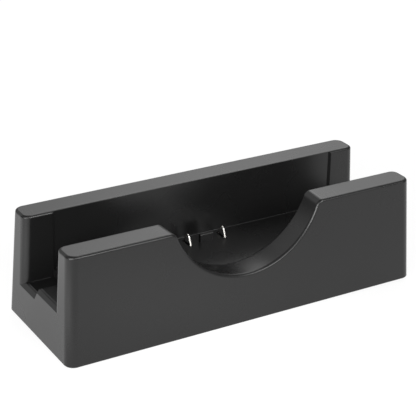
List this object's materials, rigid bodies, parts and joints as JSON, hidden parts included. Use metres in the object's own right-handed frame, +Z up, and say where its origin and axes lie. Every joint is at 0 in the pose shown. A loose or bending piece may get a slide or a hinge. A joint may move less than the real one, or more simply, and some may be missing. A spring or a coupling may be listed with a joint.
{
  "type": "handheld console charging dock",
  "caption": "Low black charging dock for a clamshell handheld console, with an open-ended trough, a round finger notch in front and sprung contacts in its floor",
  "frame": {"origin": "on the table, under the centre of the dock's outline", "axes": "X along the dock to the right, Y to the back, Z up"},
  "size_m": [0.125, 0.044, 0.0357],
  "materials": {
    "housing_plastic": "black moulded plastic with a fine satin texture",
    "insulator_plastic": "plain black insulating moulding",
    "contact_metal": "bright nickel-plated spring strip",
    "spring_steel": "drawn plated spring wire",
    "screw_steel": "dark zinc-plated steel",
    "board_laminate": "green resist over glass laminate",
    "jack_metal": "folded plated sheet",
    "terminal_metal": "gold-flashed strip",
    "fuse_body": "dull moulded body",
    "foot_rubber": "soft matt pad"
  },
  "bodies": {
    "dock": {"upper_housing": "housing_plastic", "base_cover": "housing_plastic", "base_screws": "screw_steel", "circuit_board": "board_laminate", "board_screws": "screw_steel", "contact_carrier": "insulator_plastic", "contact_spring_left": "spring_steel", "contact_spring_right": "spring_steel", "jack_shell": "jack_metal", "jack_insulator": "insulator_plastic", "jack_terminal_left": "terminal_metal", "jack_terminal_right": "terminal_metal", "supply_fuse": "fuse_body", "foot_front_left": "foot_rubber", "foot_front_right": "foot_rubber", "foot_rear_left": "foot_rubber", "foot_rear_right": "foot_rubber"},
    "contact_left": {"contact_left": "contact_metal"},
    "contact_right": {"contact_right": "contact_metal"}
  },
  "joints": [
    {"name": "contact_left_press", "type": "slide", "parent": "dock", "child": "contact_left", "axis": [0, 0, -1], "range_m": [0, 0.0012], "stiffness_N_per_m": 600, "deforming": ["contact_spring_left"]},
    {"name": "contact_right_press", "type": "slide", "parent": "dock", "child": "contact_right", "axis": [0, 0, -1], "range_m": [0, 0.0012], "stiffness_N_per_m": 600, "deforming": ["contact_spring_right"]}
  ]
}
